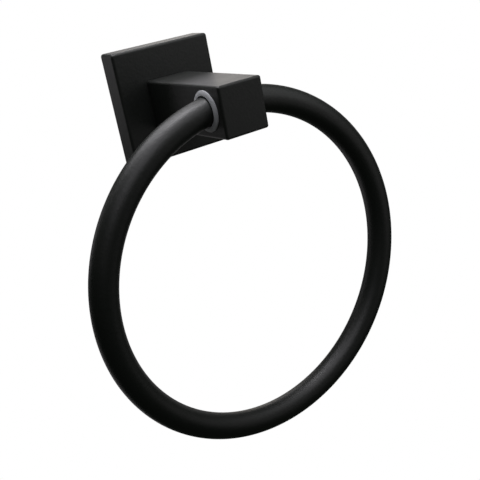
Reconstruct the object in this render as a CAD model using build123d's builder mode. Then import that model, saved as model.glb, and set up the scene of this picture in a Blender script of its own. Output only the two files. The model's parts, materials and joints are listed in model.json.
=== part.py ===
from build123d import *
import os
from math import cos, degrees, radians, sin, sqrt

# Towel ring: a square plate and post on the wall, and a tube ring that swings in two plastic bushes.
# The wall is the plane y = 0, the room is towards -y, x runs to the right and z runs up.
# The origin is the middle of the plate's back. All sizes are in millimetres.

# Wall plate
plate_width = 52.2
plate_height = 54.0
plate_depth = 11.2
plate_wall = 2.5
plate_front = 3.0
plate_corner_r = 1.4
plate_edge_r = 1.2
pocket_corner_r = 1.5

# Post
post_width = 22.6
post_height = 23.1
post_edge_r = 1.1
projection = 73.0
seat_depth = 1.0
seat_gap = 0.05

# Ring
ring_od = 170.0
tube_d = 12.7
tube_wall = 1.2
joint_gap = 0.4
joint_pin_length = 24.0
joint_pin_gap = 0.03
pivot_setback = 12.5
pivot_rise = 0.35

# Bushes
bush_sleeve_length = 2.0
bush_wall = 1.1
bush_lip = 1.3
bush_edge_t = 0.45
bush_crown = 0.6
bush_rim_r = 0.3
bush_mouth_r = 0.35
bush_fit_gap = 0.04
running_gap = 0.12

# Screw and washer that hold the post
post_screw_d = 5.0
post_screw_length = 16.0
post_head_d = 9.5
post_head_h = 2.7
post_head_round = 1.2
post_socket_af = 3.0
post_socket_depth = 1.5
post_tip_gap = 2.0
washer_d = 9.2
washer_t = 1.2
washer_gap = 0.2
washer_split = 0.8
screw_gap = 0.25
thread_gap = 0.05
point_chamfer = 0.6

# Bracket on the wall
bracket_t = 1.5
bracket_width = 34.0
bracket_bend_r = 0.8
bracket_front_gap = 0.6
slot_spacing = 28.0
slot_length = 8.0
slot_width = 5.0
head_clearance = 2.0

# Set screw in the plate's bottom wall
set_screw_d = 4.0
set_recess = 0.3
set_reach = 0.8
set_socket_af = 2.0
set_socket_depth = 2.0
land_height = 2.0
land_width = 9.0
land_setback = 0.5

# Plate and post, as distances out from the wall
pocket_width = plate_width - 2 * plate_wall
pocket_height = plate_height - 2 * plate_wall
pocket_depth = plate_depth - plate_front
seat_width = post_width + 2 * seat_gap
seat_height = post_height + 2 * seat_gap
post_foot = plate_depth - seat_depth
pivot_out = projection - pivot_setback

# Ring's centre line and the stretch of it that lies inside each bush
tube_r = tube_d / 2
tube_bore_r = tube_r - tube_wall
ring_r = ring_od / 2 - tube_r
bush_inner = post_width / 2 - bush_sleeve_length
bush_edge = post_width / 2 + bush_edge_t
bush_outer = bush_edge + bush_crown


# How far the centre line has dropped from its top, at a distance x from the middle of the post
def drop(x):
    return ring_r - sqrt(ring_r**2 - x**2)


# The pivot lies halfway down the drop inside a bush, so the bent tube turns in the smallest bore
pivot_drop = (drop(bush_inner) + drop(bush_outer)) / 2
ring_centre = Vector(0, -pivot_out, pivot_rise + pivot_drop - ring_r)
pivot_above_centre = ring_r - pivot_drop
reach_up = sqrt((ring_r + tube_r) ** 2 - bush_inner**2) - pivot_above_centre
reach_down = pivot_above_centre - sqrt((ring_r - tube_r) ** 2 - bush_outer**2)
bush_bore_r = max(reach_up, reach_down) + running_gap
sleeve_r = bush_bore_r + bush_wall
flange_r = sleeve_r + bush_lip
post_bore_r = sleeve_r + bush_fit_gap

# Screw stack behind the plate's front wall
under_head = pocket_depth - washer_t
head_back = under_head - post_head_h
post_hole_depth = under_head + post_screw_length - post_foot + post_tip_gap

# Bracket: its top flange carries the plate, its bottom flange takes the set screw's point
flange_out = pocket_depth - bracket_front_gap
bracket_top = pocket_height / 2
bracket_bottom = land_height + set_reach - pocket_height / 2
bracket_height = bracket_top - bracket_bottom
bracket_middle = (bracket_top + bracket_bottom) / 2
bend_outer_r = bracket_bend_r + bracket_t
set_out = (bend_outer_r + flange_out) / 2
set_foot = set_recess - plate_height / 2
set_screw_length = bracket_bottom - set_foot


# Wall plate: a shallow cover with a seat for the post's foot
with BuildPart() as wall_plate:
    with BuildSketch(Plane.XZ):
        RectangleRounded(plate_width, plate_height, plate_corner_r)
    extrude(amount=plate_depth)
    fillet(wall_plate.faces().sort_by(Axis.Y)[0].edges(), plate_edge_r)
    with BuildSketch(Plane.XZ):
        RectangleRounded(pocket_width, pocket_height, pocket_corner_r)
    extrude(amount=pocket_depth, mode=Mode.SUBTRACT)
    # Land that gives the set screw more thread
    with BuildSketch(Plane.XZ.offset(land_setback)):
        with Locations((0, -pocket_height / 2)):
            Rectangle(land_width, land_height, align=(Align.CENTER, Align.MIN))
    extrude(amount=pocket_depth - land_setback)
    # Seat in the front, and the screw's hole through it
    with BuildSketch(Plane.XZ.offset(plate_depth)):
        RectangleRounded(seat_width, seat_height, post_edge_r + seat_gap)
    extrude(amount=-seat_depth, mode=Mode.SUBTRACT)
    with BuildSketch(Plane.XZ.offset(pocket_depth)):
        Circle(post_screw_d / 2 + screw_gap)
    extrude(amount=plate_front, mode=Mode.SUBTRACT)
    # Threaded hole up through the bottom wall and the land
    with BuildSketch(Plane.XY.offset(-plate_height / 2)):
        with Locations((0, -set_out)):
            Circle(set_screw_d / 2 + thread_gap)
    extrude(amount=plate_wall + land_height, mode=Mode.SUBTRACT)
wall_plate.part.label = "wall_plate"


# Post: a square bar with a cross bore for the bushes and a threaded hole in its foot
with BuildPart() as post:
    with BuildSketch(Plane.XZ.offset(post_foot)):
        Rectangle(post_width, post_height)
    extrude(amount=projection - post_foot)
    long_edges = post.edges().filter_by(Axis.Y)
    front_edges = post.faces().sort_by(Axis.Y)[0].edges()
    fillet(long_edges + front_edges, post_edge_r)
    with BuildSketch(Plane.YZ.offset(-post_width / 2)):
        with Locations((-pivot_out, pivot_rise)):
            Circle(post_bore_r)
    extrude(amount=post_width, mode=Mode.SUBTRACT)
    with BuildSketch(Plane.XZ.offset(post_foot)):
        Circle(post_screw_d / 2 + thread_gap)
    extrude(amount=post_hole_depth, mode=Mode.SUBTRACT)
post.part.label = "post"


# Bushes: a sleeve in the post's bore and a crowned lip that stands on its side face
pivot = Plane(origin=(0, -pivot_out, pivot_rise), x_dir=(1, 0, 0), z_dir=(0, -1, 0))
with BuildPart() as bush_right:
    with BuildSketch(pivot) as bush_section:
        with BuildLine():
            crown = TangentArc((bush_outer, bush_bore_r), (bush_edge, flange_r), tangent=(0, 1))
            Polyline(
                crown @ 1,
                (post_width / 2, flange_r),
                (post_width / 2, sleeve_r),
                (bush_inner, sleeve_r),
                (bush_inner, bush_bore_r),
                crown @ 0,
            )
        make_face()
        mouth = bush_section.vertices().sort_by(Axis.X)[-1]
        fillet(mouth, bush_mouth_r)
        rim = bush_section.vertices().group_by(Axis.Y)[-1].sort_by(Axis.X)[-1]
        fillet(rim, bush_rim_r)
    revolve(axis=Axis(pivot.origin, (1, 0, 0)))
bush_right.part.label = "bush_right"

with BuildPart() as bush_left:
    mirror(bush_right.part, about=Plane.YZ)
bush_left.part.label = "bush_left"


# Plane across the ring's centre line, at an angle from its top towards +x
def ring_section(angle):
    outward = (sin(radians(angle)), 0, cos(radians(angle)))
    along = (cos(radians(angle)), 0, -sin(radians(angle)))
    return Plane(origin=ring_centre, x_dir=outward, z_dir=along)


ring_axis = Axis(ring_centre, (0, 1, 0))
half_joint = degrees(joint_gap / 2 / ring_r)
half_pin = degrees(joint_pin_length / 2 / ring_r)

# Ring: one tube, with its two ends a hair apart at the top
with BuildPart() as ring:
    with BuildSketch(ring_section(half_joint)):
        with Locations((ring_r, 0)):
            Circle(tube_r)
            Circle(tube_bore_r, mode=Mode.SUBTRACT)
    revolve(axis=ring_axis, revolution_arc=360 - 2 * half_joint)
ring.part.label = "ring"

# Pin inside the tube that joins the two ends
with BuildPart() as ring_joint_pin:
    with BuildSketch(ring_section(-half_pin)):
        with Locations((ring_r, 0)):
            Circle(tube_bore_r - joint_pin_gap)
    revolve(axis=ring_axis, revolution_arc=2 * half_pin)
ring_joint_pin.part.label = "ring_joint_pin"


# Button head screw that draws the post's foot into its seat
with BuildPart() as post_screw:
    with BuildSketch(Plane.XZ.offset(head_back)):
        Circle(post_head_d / 2)
    extrude(amount=post_head_h)
    fillet(post_screw.faces().sort_by(Axis.Y)[-1].edges(), post_head_round)
    with BuildSketch(Plane.XZ.offset(under_head)):
        Circle(post_screw_d / 2)
    extrude(amount=post_screw_length)
    chamfer(post_screw.faces().sort_by(Axis.Y)[0].edges(), point_chamfer)
    with BuildSketch(Plane.XZ.offset(head_back)):
        RegularPolygon(post_socket_af / 2, 6, major_radius=False)
    extrude(amount=post_socket_depth, mode=Mode.SUBTRACT)
post_screw.part.label = "post_screw"

# Split washer under the screw's head, pressed flat
with BuildPart() as lock_washer:
    with BuildSketch(Plane.XZ.offset(under_head)):
        Circle(washer_d / 2)
        Circle(post_screw_d / 2 + washer_gap, mode=Mode.SUBTRACT)
        Rectangle(washer_split, washer_d, align=(Align.CENTER, Align.MIN), mode=Mode.SUBTRACT)
    extrude(amount=washer_t)
lock_washer.part.label = "lock_washer"


# Bracket: pressed channel with two slots for wall screws and a hole that clears the screw's head
with BuildPart() as mounting_bracket:
    with BuildSketch(Plane.YZ.offset(-bracket_width / 2)) as channel:
        with Locations((0, bracket_middle)):
            Rectangle(flange_out, bracket_height, align=(Align.MAX, Align.CENTER))
        fillet(channel.vertices().group_by(Axis.X)[-1], bend_outer_r)
        with Locations((-bracket_t, bracket_middle)):
            Rectangle(
                flange_out - bracket_t,
                bracket_height - 2 * bracket_t,
                align=(Align.MAX, Align.CENTER),
                mode=Mode.SUBTRACT,
            )
        fillet(channel.vertices().group_by(Axis.X)[-2], bracket_bend_r)
    extrude(amount=bracket_width)
    with BuildSketch(Plane.XZ):
        with GridLocations(0, slot_spacing, 1, 2):
            SlotOverall(slot_length, slot_width, rotation=90)
        Circle(post_head_d / 2 + head_clearance)
    extrude(amount=bracket_t, mode=Mode.SUBTRACT)
mounting_bracket.part.label = "mounting_bracket"


# Set screw: its point bears on the bracket's bottom flange
with BuildPart() as set_screw:
    with BuildSketch(Plane.XY.offset(set_foot)):
        with Locations((0, -set_out)):
            Circle(set_screw_d / 2)
    extrude(amount=set_screw_length)
    chamfer(set_screw.faces().sort_by(Axis.Z)[-1].edges(), point_chamfer)
    with BuildSketch(Plane.XY.offset(set_foot)):
        with Locations((0, -set_out)):
            RegularPolygon(set_socket_af / 2, 6, major_radius=False)
    extrude(amount=set_socket_depth, mode=Mode.SUBTRACT)
set_screw.part.label = "set_screw"


pieces = (
    wall_plate,
    post,
    bush_left,
    bush_right,
    ring,
    ring_joint_pin,
    post_screw,
    lock_washer,
    mounting_bracket,
    set_screw,
)
os.makedirs("parts", exist_ok=True)
for piece in pieces:
    export_step(piece.part, f"parts/{piece.part.label}.step")

print(f"pivot at y {-pivot_out:.3f}, z {pivot_rise:.3f}; ring centre at z {ring_centre.Z:.3f}")
print(f"bush bore {2 * bush_bore_r:.3f}, bush lip {2 * flange_r:.3f}")
print(f"set screw length {set_screw_length:.3f}, bracket from z {bracket_bottom:.3f} to {bracket_top:.3f}")
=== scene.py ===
import json
import math

import bmesh
import bpy
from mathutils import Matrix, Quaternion, Vector


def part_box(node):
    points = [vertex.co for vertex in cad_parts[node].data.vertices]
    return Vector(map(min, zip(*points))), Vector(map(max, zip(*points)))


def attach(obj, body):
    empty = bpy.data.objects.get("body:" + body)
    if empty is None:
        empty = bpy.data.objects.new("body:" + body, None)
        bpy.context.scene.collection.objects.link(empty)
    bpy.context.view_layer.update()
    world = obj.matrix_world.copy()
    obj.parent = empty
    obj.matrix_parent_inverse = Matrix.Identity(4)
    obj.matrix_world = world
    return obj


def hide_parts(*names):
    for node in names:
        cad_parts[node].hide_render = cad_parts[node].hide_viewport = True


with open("model.json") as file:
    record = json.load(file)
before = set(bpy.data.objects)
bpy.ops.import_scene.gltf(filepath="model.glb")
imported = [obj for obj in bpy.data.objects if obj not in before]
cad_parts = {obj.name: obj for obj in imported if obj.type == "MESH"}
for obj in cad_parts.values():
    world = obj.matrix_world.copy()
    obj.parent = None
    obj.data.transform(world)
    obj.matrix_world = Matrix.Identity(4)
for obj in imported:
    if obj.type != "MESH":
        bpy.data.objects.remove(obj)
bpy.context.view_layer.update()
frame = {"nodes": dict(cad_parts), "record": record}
nodes = frame["nodes"]
record = frame["record"]
slotOf = {subpart["node"]: subpart["material_slot"] for subpart in record["subparts"]}
bodyOf = {node: body for body, members in record["behaviour"]["bodies"].items() for node in members}
mmPerMetre = 1000.0
mm = 1 / mmPerMetre  # piece sizes below are in millimetres, Blender's are in metres
bpy.ops.object.select_all(action="DESELECT")
print("frame loaded:", len(nodes), "pieces")


# Helpers for colours, sizes and nodes
noiseLow, noiseHigh = 0.3, 0.7  # most of a noise texture's values lie between these
colourA, colourB, colourOut = 6, 7, 2  # the sockets of a Mix node that take and give colours


def hexToLinear(hexColour):  # by the sRGB curve
    channels = [int(hexColour[i:i + 2], 16) / 255 for i in (1, 3, 5)]
    linear = [c / 12.92 if c <= 0.04045 else ((c + 0.055) / 1.055) ** 2.4 for c in channels]
    return (*linear, 1.0)


def perMetre(sizeMm):  # texture scale whose pattern repeats about every sizeMm
    return mmPerMetre / sizeMm


def addNode(tree, kind, settings=None, inputs=None, links=None):
    node = tree.nodes.new(kind)
    for name, value in (settings or {}).items():
        setattr(node, name, value)
    for name, value in (inputs or {}).items():
        node.inputs[name].default_value = value
    for name, source in (links or {}).items():
        tree.links.new(source, node.inputs[name])
    return node


def startMaterial(name):
    material = bpy.data.materials.new(name)
    material.use_nodes = True
    material.node_tree.nodes.clear()
    return material, material.node_tree


# Polyester powder coat, baked on: deep black, a soft sheen, and a very fine orange peel up close
powderCoat = {
    "dark": "#0a0d0a",
    "light": "#101310",
    "ior": 1.5,
    "roughness": (0.43, 0.47),
    "peelMm": 3.0,
    "peelDepthMm": 0.04,
    "peelDetail": 1.0,
    "grainMm": 1.2,  # coarser and deeper than the real grain, so that it shows
    "grainDepthMm": 0.06,
    "grainDetail": 2.0,
    "patchMm": 14.0,
    "patchDetail": 3.0,
}


def makePowderCoat():
    material, tree = startMaterial("blackPowderCoat")
    place = addNode(tree, "ShaderNodeTexCoord").outputs["Object"]
    grain = addNode(tree, "ShaderNodeTexNoise", None,
                    {"Scale": perMetre(powderCoat["grainMm"]), "Detail": powderCoat["grainDetail"]},
                    {"Vector": place})
    peel = addNode(tree, "ShaderNodeTexNoise", None,
                   {"Scale": perMetre(powderCoat["peelMm"]), "Detail": powderCoat["peelDetail"]},
                   {"Vector": place})
    patch = addNode(tree, "ShaderNodeTexNoise", None,
                    {"Scale": perMetre(powderCoat["patchMm"]), "Detail": powderCoat["patchDetail"]},
                    {"Vector": place})
    colour = addNode(tree, "ShaderNodeMix", {"data_type": "RGBA"}, None, {"Factor": grain.outputs["Fac"]})
    colour.inputs[colourA].default_value = hexToLinear(powderCoat["dark"])
    colour.inputs[colourB].default_value = hexToLinear(powderCoat["light"])
    low, high = powderCoat["roughness"]
    gloss = addNode(tree, "ShaderNodeMapRange", None,
                    {"From Min": noiseLow, "From Max": noiseHigh, "To Min": low, "To Max": high},
                    {"Value": patch.outputs["Fac"]})
    waves = addNode(tree, "ShaderNodeBump", None,
                    {"Strength": 1.0, "Distance": powderCoat["peelDepthMm"] * mm},
                    {"Height": peel.outputs["Fac"]})
    bump = addNode(tree, "ShaderNodeBump", None,
                   {"Strength": 1.0, "Distance": powderCoat["grainDepthMm"] * mm},
                   {"Height": grain.outputs["Fac"], "Normal": waves.outputs["Normal"]})
    shader = addNode(tree, "ShaderNodeBsdfPrincipled", None, {"IOR": powderCoat["ior"]},
                     {"Base Color": colour.outputs[colourOut], "Roughness": gloss.outputs["Result"],
                      "Normal": bump.outputs["Normal"]})
    addNode(tree, "ShaderNodeOutputMaterial", None, None, {"Surface": shader.outputs["BSDF"]})
    return material


# Moulded nylon: mid grey, half matt, with a faint cloudiness from the mould
greyNylon = {
    "dark": "#96989a",
    "light": "#9fa1a3",
    "ior": 1.53,
    "roughness": (0.55, 0.65),
    "cloudMm": 3.0,
    "cloudDetail": 3.0,
    "skinMm": 0.9,  # coarser and deeper than the real skin, so that it shows
    "skinDepthMm": 0.03,
    "skinDetail": 2.0,
}


def makeNylon():
    material, tree = startMaterial("greyMouldedNylon")
    place = addNode(tree, "ShaderNodeTexCoord").outputs["Object"]
    cloud = addNode(tree, "ShaderNodeTexNoise", None,
                    {"Scale": perMetre(greyNylon["cloudMm"]), "Detail": greyNylon["cloudDetail"]},
                    {"Vector": place})
    skin = addNode(tree, "ShaderNodeTexNoise", None,
                   {"Scale": perMetre(greyNylon["skinMm"]), "Detail": greyNylon["skinDetail"]},
                   {"Vector": place})
    colour = addNode(tree, "ShaderNodeMix", {"data_type": "RGBA"}, None, {"Factor": cloud.outputs["Fac"]})
    colour.inputs[colourA].default_value = hexToLinear(greyNylon["dark"])
    colour.inputs[colourB].default_value = hexToLinear(greyNylon["light"])
    low, high = greyNylon["roughness"]
    gloss = addNode(tree, "ShaderNodeMapRange", None,
                    {"From Min": noiseLow, "From Max": noiseHigh, "To Min": low, "To Max": high},
                    {"Value": skin.outputs["Fac"]})
    bump = addNode(tree, "ShaderNodeBump", None,
                   {"Strength": 1.0, "Distance": greyNylon["skinDepthMm"] * mm},
                   {"Height": skin.outputs["Fac"]})
    shader = addNode(tree, "ShaderNodeBsdfPrincipled", None, {"IOR": greyNylon["ior"]},
                     {"Base Color": colour.outputs[colourOut], "Roughness": gloss.outputs["Result"],
                      "Normal": bump.outputs["Normal"]})
    addNode(tree, "ShaderNodeOutputMaterial", None, None, {"Surface": shader.outputs["BSDF"]})
    return material


# Zinc-plated steel: pale bluish grey metal with a soft blur and a slightly uneven passivation
zincSteel = {
    "cool": "#c9cdd1",
    "warm": "#cfcbc2",
    "roughness": (0.29, 0.38),
    "cloudMm": 5.0,
    "cloudDetail": 4.0,
    "grainMm": 0.9,  # coarser and deeper than the real grain, so that it shows
    "grainDepthMm": 0.02,
    "grainDetail": 2.0,
}


def makeZincSteel():
    material, tree = startMaterial("zincPlatedSteel")
    place = addNode(tree, "ShaderNodeTexCoord").outputs["Object"]
    cloud = addNode(tree, "ShaderNodeTexNoise", None,
                    {"Scale": perMetre(zincSteel["cloudMm"]), "Detail": zincSteel["cloudDetail"]},
                    {"Vector": place})
    grain = addNode(tree, "ShaderNodeTexNoise", None,
                    {"Scale": perMetre(zincSteel["grainMm"]), "Detail": zincSteel["grainDetail"]},
                    {"Vector": place})
    colour = addNode(tree, "ShaderNodeMix", {"data_type": "RGBA"}, None, {"Factor": cloud.outputs["Fac"]})
    colour.inputs[colourA].default_value = hexToLinear(zincSteel["cool"])
    colour.inputs[colourB].default_value = hexToLinear(zincSteel["warm"])
    low, high = zincSteel["roughness"]
    gloss = addNode(tree, "ShaderNodeMapRange", None,
                    {"From Min": noiseLow, "From Max": noiseHigh, "To Min": low, "To Max": high},
                    {"Value": cloud.outputs["Fac"]})
    bump = addNode(tree, "ShaderNodeBump", None,
                   {"Strength": 1.0, "Distance": zincSteel["grainDepthMm"] * mm},
                   {"Height": grain.outputs["Fac"]})
    shader = addNode(tree, "ShaderNodeBsdfPrincipled", None, {"Metallic": 1.0},
                     {"Base Color": colour.outputs[colourOut], "Roughness": gloss.outputs["Result"],
                      "Normal": bump.outputs["Normal"]})
    addNode(tree, "ShaderNodeOutputMaterial", None, None, {"Surface": shader.outputs["BSDF"]})
    return material


finishes = {
    "black_coat": makePowderCoat(),
    "grey_nylon": makeNylon(),
    "plated_steel": makeZincSteel(),
}
for name, piece in nodes.items():
    piece.data.materials.clear()
    piece.data.materials.append(finishes[slotOf[name]])
print("finishes made:", ", ".join(finishes))


# Helpers for modelling: one piece at a time, with nothing else selected
weldMm = 0.001  # points closer than this are one point
sharpDeg = 40  # edges sharper than this are rounded over, or stay crisp
edgeSegments = 2


def pick(piece):
    bpy.ops.object.select_all(action="DESELECT")
    piece.select_set(True)
    bpy.context.view_layer.objects.active = piece


def openMesh(piece):
    pick(piece)
    bpy.ops.object.mode_set(mode="EDIT")
    bpy.ops.mesh.select_all(action="SELECT")


def closeMesh():
    bpy.ops.object.mode_set(mode="OBJECT")


def weld():
    bpy.ops.mesh.select_all(action="SELECT")
    bpy.ops.mesh.remove_doubles(threshold=weldMm * mm)
    bpy.ops.mesh.normals_make_consistent(inside=False)


def settle(piece):  # its place, turn and scale go into its mesh
    pick(piece)
    bpy.ops.object.transform_apply(location=True, rotation=True, scale=True)


def drawLine(name, points):  # an open line of points, drawn by pulling one point along
    bpy.ops.mesh.primitive_plane_add(size=mm)
    piece = bpy.context.active_object
    piece.name = name
    openMesh(piece)
    bpy.ops.mesh.merge(type="CENTER")
    bpy.ops.transform.translate(value=points[0])
    for start, end in zip(points, points[1:]):
        bpy.ops.mesh.extrude_region_move(TRANSFORM_OT_translate={"value": Vector(end) - Vector(start)})
    closeMesh()
    return piece


def selectPoints(piece, wanted):  # in edit mode, the points whose place passes the test
    bpy.ops.mesh.select_all(action="DESELECT")
    bpy.ops.mesh.select_mode(type="VERT")
    form = bmesh.from_edit_mesh(piece.data)
    for point in form.verts:
        point.select_set(wanted(point.co))
    form.select_flush(True)
    bmesh.update_edit_mesh(piece.data)


def applyModifier(piece, kind, **settings):
    pick(piece)
    step = piece.modifiers.new(kind.lower(), kind)
    for name, value in settings.items():
        setattr(step, name, value)
    bpy.ops.object.modifier_apply(modifier=step.name)


def combine(piece, tool, operation):  # cuts, joins or trims the piece with a tool that is then thrown away
    applyModifier(piece, "BOOLEAN", operation=operation, object=tool, solver="EXACT")
    bpy.data.objects.remove(tool)


def breakEdges(piece, widthMm):
    applyModifier(piece, "BEVEL", width=widthMm * mm, segments=edgeSegments, limit_method="ANGLE",
                  angle_limit=math.radians(sharpDeg))


def finishPiece(piece, node, smoothDeg=sharpDeg):  # stands for the node: its body, its finish and its place
    settle(piece)
    openMesh(piece)
    weld()
    closeMesh()
    bpy.ops.object.shade_smooth_by_angle(angle=math.radians(smoothDeg))
    # Weighted normals let flat faces look flat beside their rounded edges
    applyModifier(piece, "WEIGHTED_NORMAL", keep_sharp=True)
    piece.data.materials.clear()
    piece.data.materials.append(finishes[slotOf[node]])
    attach(piece, bodyOf[node])
    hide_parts(node)
    print("made", piece.name, "with", len(piece.data.polygons), "faces")


# Ring: a circle swept round into a tube, its two ends a hair apart inside the post
ringTube = {
    "tubeMm": 12.7,
    "wallMm": 1.2,
    "endGapMm": 0.4,
    "pointsAroundTube": 72,
    "stepsAroundRing": 288,
}


def makeRingTube():
    low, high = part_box("ring")
    tubeRadius = ringTube["tubeMm"] / 2 * mm
    ringRadius = (high.x - low.x) / 2 - tubeRadius
    centre = Vector((0, (low.y + high.y) / 2, low.z + tubeRadius + ringRadius))
    halfGap = ringTube["endGapMm"] / 2 * mm / ringRadius
    start = centre + ringRadius * Vector((math.sin(halfGap), 0, math.cos(halfGap)))
    bpy.ops.mesh.primitive_circle_add(vertices=ringTube["pointsAroundTube"], radius=tubeRadius,
                                      location=start, rotation=(0, math.pi / 2 + halfGap, 0))
    tube = bpy.context.active_object
    tube.name = "ringTube"
    openMesh(tube)
    bpy.ops.mesh.spin(steps=ringTube["stepsAroundRing"], angle=2 * math.pi - 2 * halfGap,
                      center=centre, axis=(0, -1, 0))
    weld()
    closeMesh()
    applyModifier(tube, "SOLIDIFY", thickness=ringTube["wallMm"] * mm, offset=-1, use_even_offset=True)
    finishPiece(tube, "ring")


# Screws: one pitch of thread profile wound up a helix, then trimmed by a blank with a chamfered point
headedScrew = {
    "node": "post_screw",
    "threadMm": 5.0,
    "pitchMm": 0.8,
    "pointMm": 0.6,
    "headMm": 9.5,
    "headHeightMm": 2.7,
    "headRoundMm": 1.2,
    "headSegments": 8,
    "socketMm": 3.0,
    "socketDepthMm": 1.5,
}
grubScrew = {
    "node": "set_screw",
    "threadMm": 4.0,
    "pitchMm": 0.7,
    "pointMm": 0.6,
    "headMm": None,
    "driveEdgeMm": 0.3,
    "socketMm": 2.0,
    "socketDepthMm": 2.0,
}
thread = {
    "depthInPitches": 0.613,  # standard metric thread form
    "rootFlatInPitches": 0.25,
    "crestFlatInPitches": 0.125,
    "stepsPerTurn": 40,
    "spareTurns": 4,  # wound past the screw's length, and trimmed off again
    "startCutTurns": 1.3,  # the ragged ends come off square, this far in
    "endCutTurns": 0.3,
    "dropTurns": 2.3,  # how far the rod then goes down, to reach past both ends of the screw
    "cutSlackMm": 0.0001,
    "pointsAroundBlank": 64,
    "blankInCrests": 1.01,  # just clear of the crests, which stay as wound
    "socketSides": 6,
    "overlapMm": 0.5,  # how far tools run past the faces they meet
    "smoothDeg": 30,
}


def windThread(name, screw, length):
    pitch = screw["pitchMm"] * mm
    crest = screw["threadMm"] / 2 * mm
    root = crest - thread["depthInPitches"] * pitch
    rootFlat = thread["rootFlatInPitches"] * pitch
    crestFlat = thread["crestFlatInPitches"] * pitch
    flank = (pitch - rootFlat - crestFlat) / 2
    profile = [(root, 0, 0), (root, 0, rootFlat), (crest, 0, rootFlat + flank),
               (crest, 0, rootFlat + flank + crestFlat), (root, 0, pitch)]
    rod = drawLine(name, profile)
    turns = math.ceil(length / pitch) + thread["spareTurns"]
    applyModifier(rod, "SCREW", axis="Z", screw_offset=pitch, iterations=turns,
                  steps=thread["stepsPerTurn"], render_steps=thread["stepsPerTurn"])
    openMesh(rod)
    weld()
    for cutTurns, outward in ((thread["startCutTurns"], -1), (turns - thread["endCutTurns"], 1)):
        bpy.ops.mesh.select_all(action="SELECT")
        bpy.ops.mesh.bisect(plane_co=(0, 0, cutTurns * pitch), plane_no=(0, 0, outward), clear_outer=True,
                            threshold=thread["cutSlackMm"] * mm)
    bpy.ops.mesh.select_all(action="SELECT")
    bpy.ops.mesh.fill_holes(sides=0)
    bpy.ops.mesh.normals_make_consistent(inside=False)
    bpy.ops.transform.translate(value=(0, 0, -thread["dropTurns"] * pitch))
    closeMesh()
    return rod


def turnBlank(radius, bottom, top, bottomRound, topRound, segments=1):
    bpy.ops.mesh.primitive_cylinder_add(vertices=thread["pointsAroundBlank"], radius=radius,
                                        depth=top - bottom, location=(0, 0, (top + bottom) / 2))
    blank = bpy.context.active_object
    settle(blank)
    openMesh(blank)
    for height, roundSize in ((bottom, bottomRound), (top, topRound)):
        if roundSize:
            selectPoints(blank, lambda place: abs(place.z - height) < weldMm * mm)
            bpy.ops.mesh.bevel(offset=roundSize, segments=segments, affect="EDGES")
    closeMesh()
    return blank


def makeScrew(name, screw, length, place, turn):
    overlap = thread["overlapMm"] * mm
    point = screw["pointMm"] * mm
    blankRadius = screw["threadMm"] / 2 * mm * thread["blankInCrests"]
    rod = windThread(name, screw, length)
    if screw["headMm"]:
        combine(rod, turnBlank(blankRadius, -overlap, length, 0, point), "INTERSECT")
        driveEnd = -screw["headHeightMm"] * mm
        head = turnBlank(screw["headMm"] / 2 * mm, driveEnd, 0, screw["headRoundMm"] * mm, 0,
                         screw["headSegments"])
        combine(rod, head, "UNION")
    else:
        combine(rod, turnBlank(blankRadius, 0, length, screw["driveEdgeMm"] * mm, point), "INTERSECT")
        driveEnd = 0
    socketDepth = screw["socketDepthMm"] * mm
    halfSide = math.pi / thread["socketSides"]  # half the angle that one flat of the socket spans
    bpy.ops.mesh.primitive_cylinder_add(
        vertices=thread["socketSides"], radius=screw["socketMm"] / 2 * mm / math.cos(halfSide),
        depth=socketDepth + overlap, location=(0, 0, driveEnd + (socketDepth - overlap) / 2),
        rotation=(0, 0, halfSide))
    combine(rod, bpy.context.active_object, "DIFFERENCE")
    rod.location = place
    rod.rotation_euler = turn
    finishPiece(rod, screw["node"], thread["smoothDeg"])


def makeScrews():
    low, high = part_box("post_screw")
    underHead = high.y - headedScrew["headHeightMm"] * mm
    makeScrew("headedScrew", headedScrew, underHead - low.y, (0, underHead, 0), (math.pi / 2, 0, 0))
    low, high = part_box("set_screw")
    makeScrew("grubScrew", grubScrew, high.z - low.z, (0, (low.y + high.y) / 2, low.z), (0, 0, 0))


# Washer: a flat section swept round, slit at the top and with its edges rolled over
splitWasher = {
    "boreMm": 5.4,
    "slitMm": 0.8,
    "edgeMm": 0.15,
    "stepsAround": 96,
    "cutterInThicknesses": 2,
}


def makeSplitWasher():
    low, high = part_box("lock_washer")
    inner = splitWasher["boreMm"] / 2 * mm
    outer = high.x
    thick = high.y - low.y
    middle = (low.y + high.y) / 2
    bpy.ops.mesh.primitive_plane_add(size=1, location=((inner + outer) / 2, middle, 0))
    washer = bpy.context.active_object
    washer.name = "splitWasher"
    washer.scale = (outer - inner, thick, 1)
    settle(washer)
    openMesh(washer)
    bpy.ops.mesh.delete(type="ONLY_FACE")
    bpy.ops.mesh.select_all(action="SELECT")
    bpy.ops.mesh.spin(steps=splitWasher["stepsAround"], angle=2 * math.pi,
                      center=(0, middle, 0), axis=(0, 1, 0))
    weld()
    closeMesh()
    cutter = (splitWasher["slitMm"] * mm, splitWasher["cutterInThicknesses"] * thick, 2 * outer)
    bpy.ops.mesh.primitive_cube_add(size=1, location=(0, middle, outer), scale=cutter)
    combine(washer, bpy.context.active_object, "DIFFERENCE")
    breakEdges(washer, splitWasher["edgeMm"])
    finishPiece(washer, "lock_washer")


# Bracket: sheet steel folded to a channel, with two slots for wall screws and a hole for the screw's head
wallBracket = {
    "sheetMm": 1.5,
    "bendMm": 2.3,  # radius outside the fold
    "bendSegments": 8,
    "slotMm": (5.0, 8.0),
    "slotApartMm": 28.0,
    "holeMm": 13.5,
    "pointsAroundHole": 62,  # not a multiple of four, so that none is left on a slot's middle line
    "punchInSheets": 4,
    "edgeMm": 0.2,
}


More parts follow.
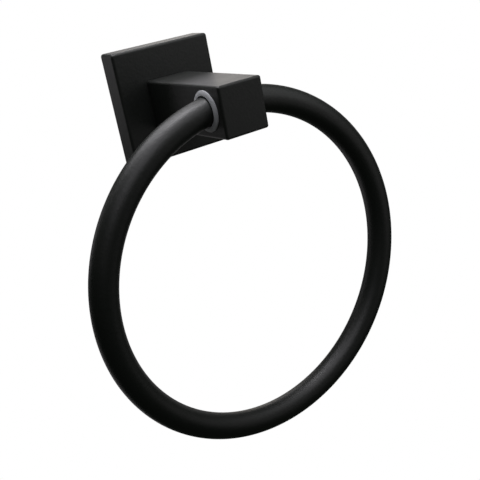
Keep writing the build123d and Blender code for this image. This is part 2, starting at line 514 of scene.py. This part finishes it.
def punch(bracket, widthMm, lengthMm, height):  # a round or long hole through the back
    depth = wallBracket["punchInSheets"] * wallBracket["sheetMm"] * mm
    bpy.ops.mesh.primitive_cylinder_add(vertices=wallBracket["pointsAroundHole"], radius=widthMm / 2 * mm,
                                        depth=depth, location=(0, 0, height), rotation=(math.pi / 2, 0, 0))
    tool = bpy.context.active_object
    settle(tool)
    openMesh(tool)
    for side in (-1, 1):
        selectPoints(tool, lambda place: side * (place.z - height) > 0)
        bpy.ops.transform.translate(value=(0, 0, side * (lengthMm - widthMm) / 2 * mm))
    closeMesh()
    combine(bracket, tool, "DIFFERENCE")


def makeWallBracket():
    low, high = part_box("mounting_bracket")
    bracket = drawLine("wallBracket", [(low.x, low.y, low.z), (low.x, high.y, low.z),
                                       (low.x, high.y, high.z), (low.x, low.y, high.z)])
    openMesh(bracket)
    selectPoints(bracket, lambda place: abs(place.y - high.y) < weldMm * mm)
    bpy.ops.mesh.bevel(offset=wallBracket["bendMm"] * mm, segments=wallBracket["bendSegments"],
                       affect="VERTICES")
    bpy.ops.mesh.select_all(action="SELECT")
    bpy.ops.mesh.extrude_region_move(TRANSFORM_OT_translate={"value": (high.x - low.x, 0, 0)})
    weld()
    closeMesh()
    applyModifier(bracket, "SOLIDIFY", thickness=wallBracket["sheetMm"] * mm, offset=-1,
                  use_even_offset=True)
    slotWide, slotLong = wallBracket["slotMm"]
    for side in (-1, 1):
        punch(bracket, slotWide, slotLong, side * wallBracket["slotApartMm"] / 2 * mm)
    punch(bracket, wallBracket["holeMm"], wallBracket["holeMm"], 0)
    breakEdges(bracket, wallBracket["edgeMm"])
    finishPiece(bracket, "mounting_bracket")


makeRingTube()
makeScrews()
makeSplitWasher()
makeWallBracket()


# Camera, as fitted to the photograph's edges
photoView = {
    "place": (-0.18696, -0.3604, 0.06493),
    "aim": (0.01651, -0.0605, -0.07921),
    "rollDeg": -9.766,
    "lensMm": 60.338,
    "sensorMm": 36.0,
    "shift": (-0.096, 0.0386),  # the picture is cropped off the lens's own middle
}


def addCamera():
    data = bpy.data.cameras.new("photoCamera")
    data.sensor_width = photoView["sensorMm"]
    data.lens = photoView["lensMm"]
    data.shift_x, data.shift_y = photoView["shift"]
    camera = bpy.data.objects.new("photoCamera", data)
    bpy.context.scene.collection.objects.link(camera)
    place = Vector(photoView["place"])
    look = (Vector(photoView["aim"]) - place).to_track_quat("-Z", "Y")
    roll = Quaternion((0.0, 0.0, 1.0), math.radians(photoView["rollDeg"]))
    camera.location = place
    camera.rotation_mode = "QUATERNION"
    camera.rotation_quaternion = look @ roll
    bpy.context.scene.camera = camera


addCamera()
print("camera placed")


# White paper floor, far enough down to leave the ring free from every side
paperFloor = {
    "heightM": -0.62,
    "widthM": 16.0,
    "colour": "#ffffff",
}


def addFloor():
    bpy.ops.mesh.primitive_plane_add(size=paperFloor["widthM"], location=(0, 0, paperFloor["heightM"]))
    floor = bpy.context.active_object
    floor.name = "paperFloor"
    material, tree = startMaterial("whitePaper")
    glow = addNode(tree, "ShaderNodeEmission", None, {"Color": hexToLinear(paperFloor["colour"])})
    addNode(tree, "ShaderNodeOutputMaterial", None, None, {"Surface": glow.outputs["Emission"]})
    floor.data.materials.append(material)
    floor.visible_diffuse = False
    floor.visible_glossy = False
    floor.visible_shadow = False


addFloor()
print("floor laid")


# Studio: a dim room, white to the eye, and soft boxes round the ring, with sizes and distances in metres
studio = {
    "roomLight": 0.0315,
    "roomTint": "#ecffeb",
    "wallColour": "#ffffff",
    "middle": (0.0, -0.04, -0.04),
    "boxes": {  # azimuth 0 is straight in front of the plate, and 90 is to the right as seen from there
        "overheadBack": {"azimuth": -143, "elevation": 72, "away": 0.280,
                         "size": 0.229, "watts": 0.535, "tint": "#fcfaff"},
        "overhead": {"azimuth": 57, "elevation": 85, "away": 0.565,
                     "size": 0.159, "watts": 1.265, "tint": "#fcfaff"},
        "overheadWide": {"azimuth": 0, "elevation": 80, "away": 0.600,
                         "size": 0.360, "watts": 0.350, "tint": "#fcfaff"},
        "frontTop": {"azimuth": -17, "elevation": 51, "away": 0.892,
                     "size": 0.881, "watts": 2.858, "tint": "#fbf8ff"},
        "backRightLow": {"azimuth": 148, "elevation": 8, "away": 1.200,
                         "size": 0.400, "watts": 0.625, "tint": "#fff7e9"},
        "backRightHigh": {"azimuth": 149, "elevation": 28, "away": 1.200,
                          "size": 0.400, "watts": 0.800, "tint": "#fcf9ff"},
        "closeBack": {"azimuth": 165, "elevation": 60, "away": 0.240,
                      "size": 0.160, "watts": 0.034, "tint": "#fffdfa"},
        "frontRight": {"azimuth": 43, "elevation": -3, "away": 0.397,
                       "size": 0.386, "watts": 0.099, "tint": "#fffafd"},
        "right": {"azimuth": 49, "elevation": 42, "away": 0.280,
                  "size": 0.347, "watts": 0.207, "tint": "#fdfdff"},
        "backLeft": {"azimuth": -153, "elevation": 6, "away": 0.659,
                     "size": 0.318, "watts": 0.151, "tint": "#fef9ff"},
        "backLeftHigh": {"azimuth": -132, "elevation": 36, "away": 0.541,
                         "size": 0.262, "watts": 0.044, "tint": "#fff8f8"},
        "backdrop": {"azimuth": 137, "elevation": -9, "away": 0.758,
                     "size": 0.908, "watts": 0.529, "tint": "#fffafc"},
        "belowBack": {"azimuth": -161, "elevation": -38, "away": 0.892,
                      "size": 0.653, "watts": 0.443, "tint": "#fff9fe"},
    },
}


def addWorld():
    world = bpy.data.worlds.new("studioRoom")
    bpy.context.scene.world = world
    world.use_nodes = True
    tree = world.node_tree
    tree.nodes.clear()
    seen = addNode(tree, "ShaderNodeLightPath").outputs["Is Camera Ray"]
    light = addNode(tree, "ShaderNodeBackground", None,
                    {"Color": hexToLinear(studio["roomTint"]), "Strength": studio["roomLight"]})
    wall = addNode(tree, "ShaderNodeBackground", None, {"Color": hexToLinear(studio["wallColour"])})
    mixed = addNode(tree, "ShaderNodeMixShader", None, None, {"Fac": seen})
    for source, socket in zip((light, wall), mixed.inputs[1:]):
        tree.links.new(source.outputs["Background"], socket)
    addNode(tree, "ShaderNodeOutputWorld", None, None, {"Surface": mixed.outputs["Shader"]})


def addSoftBox(name, box):
    around = math.radians(box["azimuth"])
    up = math.radians(box["elevation"])
    towards = Vector((math.sin(around) * math.cos(up), -math.cos(around) * math.cos(up), math.sin(up)))
    data = bpy.data.lights.new(name, "AREA")
    data.shape = "DISK"
    data.size = box["size"]
    data.energy = box["watts"]
    data.color = hexToLinear(box["tint"])[:3]
    lamp = bpy.data.objects.new(name, data)
    bpy.context.scene.collection.objects.link(lamp)
    lamp.location = Vector(studio["middle"]) + towards * box["away"]
    lamp.rotation_mode = "QUATERNION"
    lamp.rotation_quaternion = towards.to_track_quat("Z", "Y")
    lamp.visible_camera = False


addWorld()
for name, box in studio["boxes"].items():
    addSoftBox(name, box)
bpy.context.scene.view_settings.view_transform = "Standard"
print("studio lit:", len(studio["boxes"]), "soft boxes")


print("scene built")
